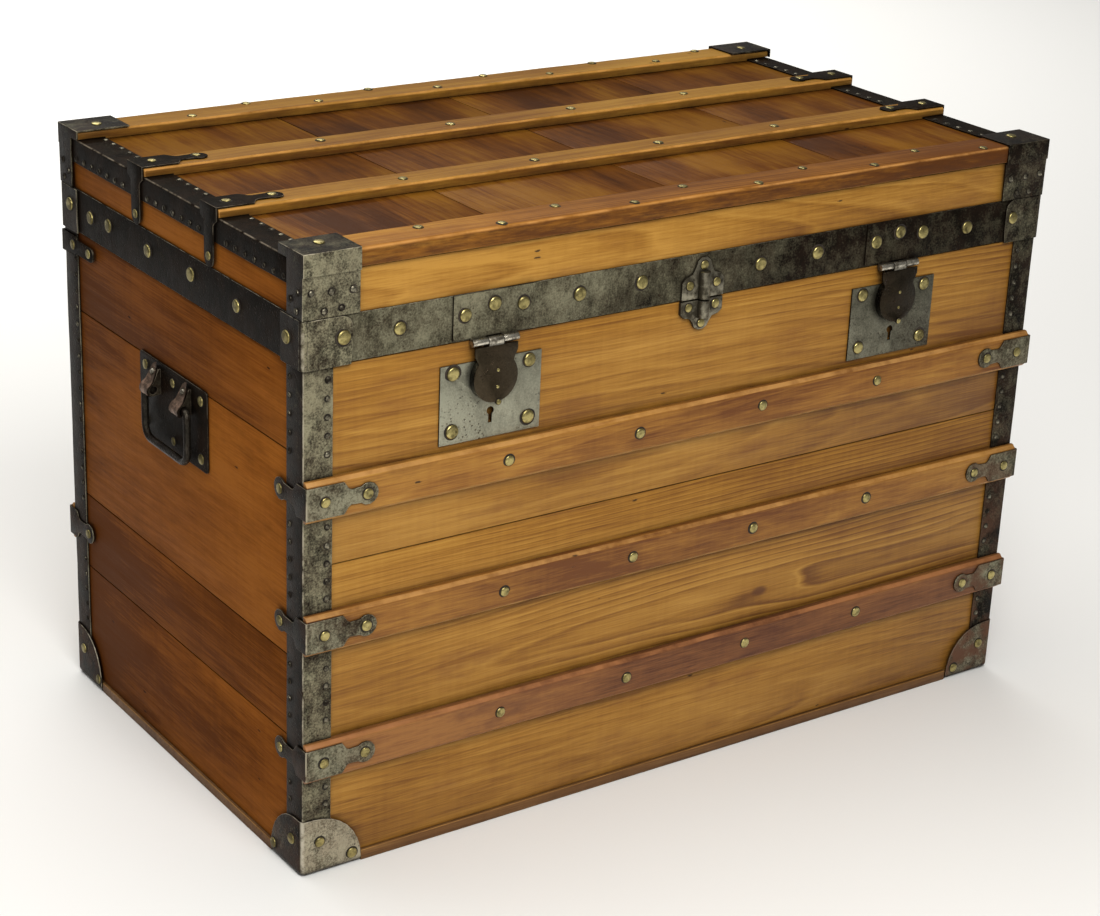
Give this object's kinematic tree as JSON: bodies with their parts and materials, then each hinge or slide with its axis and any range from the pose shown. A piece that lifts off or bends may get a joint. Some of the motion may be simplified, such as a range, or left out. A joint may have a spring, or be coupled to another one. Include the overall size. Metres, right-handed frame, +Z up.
{
  "type": "steamer trunk",
  "caption": "Slatted wooden travel trunk with a hinged lid, iron band, corner irons, hasp locks, an alignment clasp and drop handles on the ends.",
  "frame": {"origin": "middle of the underside, on the surface the trunk stands on", "axes": "+X along the front to the right, +Y from the front face to the back, +Z up"},
  "size_m": [0.843, 0.4795, 0.569],
  "materials": {
    "front_wood": "oiled honey-brown softwood boards",
    "dark_wood": "darker red-brown softwood boards",
    "slat_wood": "waxed hardwood slats with worn edges",
    "iron": "dark sheet iron with a worn grey patina",
    "bright_steel": "worn nickelled steel",
    "brass": "dull old brass"
  },
  "bodies": {
    "trunk_body": {"back_panel": "front_wood", "back_slat": "slat_wood", "base_corner_cap_back_left": "iron", "base_corner_cap_back_right": "iron", "base_corner_cap_front_left": "iron", "base_corner_cap_front_right": "iron", "bottom_panel": "dark_wood", "clasp_socket": "bright_steel", "corner_binding_back_left": "iron", "corner_binding_back_right": "iron", "corner_binding_front_left": "iron", "corner_binding_front_right": "iron", "front_panel": "front_wood", "front_slat_lower": "slat_wood", "front_slat_middle": "slat_wood", "front_slat_upper": "slat_wood", "handle_plate_left": "iron", "handle_plate_right": "iron", "hinge_body_leaf_left": "iron", "hinge_body_leaf_right": "iron", "left_end_panel": "dark_wood", "lock_left": "iron", "lock_right": "iron", "right_end_panel": "dark_wood", "slat_clamp_back_left": "iron", "slat_clamp_back_right": "iron", "slat_clamp_lower_left": "iron", "slat_clamp_lower_right": "iron", "slat_clamp_middle_left": "iron", "slat_clamp_middle_right": "iron", "slat_clamp_upper_left": "iron", "slat_clamp_upper_right": "iron"},
    "lid": {"clasp_dowel": "bright_steel", "hasp_plate_left": "iron", "hasp_plate_right": "iron", "hinge_lid_leaf_left": "iron", "hinge_lid_leaf_right": "iron", "lid_band": "iron", "lid_corner_cap_back_left": "iron", "lid_corner_cap_back_right": "iron", "lid_corner_cap_front_left": "iron", "lid_corner_cap_front_right": "iron", "lid_end_binding_left": "iron", "lid_end_binding_right": "iron", "lid_frame": "front_wood", "lid_slat_back": "slat_wood", "lid_slat_clamp_back_left": "iron", "lid_slat_clamp_back_right": "iron", "lid_slat_clamp_front_left": "iron", "lid_slat_clamp_front_right": "iron", "lid_slat_front": "slat_wood", "lid_slat_middle_back": "slat_wood", "lid_slat_middle_front": "slat_wood", "lid_top_panel": "dark_wood"},
    "hasp_flap_left": {"hasp_left": "iron"},
    "hasp_flap_right": {"hasp_right": "iron"},
    "bail_left": {"handle_bail_left": "iron"},
    "bail_right": {"handle_bail_right": "iron"},
    "bolt_left": {"lock_bolt_left": "brass"},
    "bolt_right": {"lock_bolt_right": "brass"}
  },
  "joints": [
    {"name": "lid_hinge", "type": "hinge", "parent": "trunk_body", "child": "lid", "pos_m": [0, 0.2353, 0.4705], "axis": [-1, 0, 0], "range_deg": [0, 100]},
    {"name": "hasp_swing_left", "type": "hinge", "parent": "lid", "child": "hasp_flap_left", "pos_m": [-0.2265, -0.2345, 0.469], "axis": [-1, 0, 0], "range_deg": [0, 150]},
    {"name": "hasp_swing_right", "type": "hinge", "parent": "lid", "child": "hasp_flap_right", "pos_m": [0.2265, -0.2345, 0.469], "axis": [-1, 0, 0], "range_deg": [0, 150]},
    {"name": "bail_swing_left", "type": "hinge", "parent": "trunk_body", "child": "bail_left", "pos_m": [-0.4157, 0.006, 0.37], "axis": [0, 1, 0], "range_deg": [0, 150]},
    {"name": "bail_swing_right", "type": "hinge", "parent": "trunk_body", "child": "bail_right", "pos_m": [0.4157, 0.006, 0.37], "axis": [0, -1, 0], "range_deg": [0, 150]},
    {"name": "bolt_throw_left", "type": "slide", "parent": "trunk_body", "child": "bolt_left", "axis": [-1, 0, 0], "range_m": [0, 0.008]},
    {"name": "bolt_throw_right", "type": "slide", "parent": "trunk_body", "child": "bolt_right", "axis": [-1, 0, 0], "range_m": [0, 0.008]}
  ]
}
